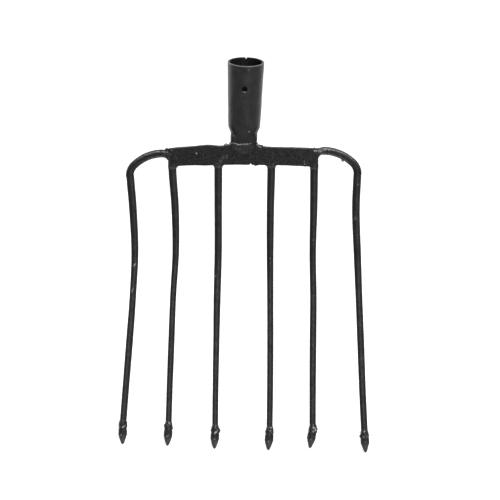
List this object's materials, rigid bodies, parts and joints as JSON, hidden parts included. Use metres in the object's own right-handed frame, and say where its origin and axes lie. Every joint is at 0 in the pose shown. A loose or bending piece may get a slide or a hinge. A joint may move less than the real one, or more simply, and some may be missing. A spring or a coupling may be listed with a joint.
{
  "type": "garden fork head",
  "caption": "Head of a curved tine fork: a rolled socket welded on a flat crossbar that carries round rod tines with welded conical spikes.",
  "frame": {"origin": "centre of the socket's mouth", "axes": "+Z out of the mouth along the socket, +X to the right as the hollow side is looked at, tines hang towards -Z and curve towards -Y"},
  "size_m": [0.2814, 0.1688, 0.4049],
  "materials": {
    "sheet": "black satin paint over rolled sheet steel",
    "bar": "black satin paint over flat bar, a little rough",
    "rod": "black satin paint over drawn round rod",
    "spike": "thin black paint over turned steel",
    "weld": "black paint over rippled weld"
  },
  "bodies": {
    "root": {"socket": "sheet", "crossbar": "bar", "socket_weld": "weld", "tine_1": "rod", "tine_2": "rod", "tine_3": "rod", "tine_4": "rod", "tine_5": "rod", "tine_6": "rod", "tine_weld_1": "weld", "tine_weld_2": "weld", "tine_weld_3": "weld", "tine_weld_4": "weld", "tine_weld_5": "weld", "tine_weld_6": "weld", "spike_1": "spike", "spike_2": "spike", "spike_3": "spike", "spike_4": "spike", "spike_5": "spike", "spike_6": "spike", "spike_weld_1": "weld", "spike_weld_2": "weld", "spike_weld_3": "weld", "spike_weld_4": "weld", "spike_weld_5": "weld", "spike_weld_6": "weld"}
  },
  "joints": []
}
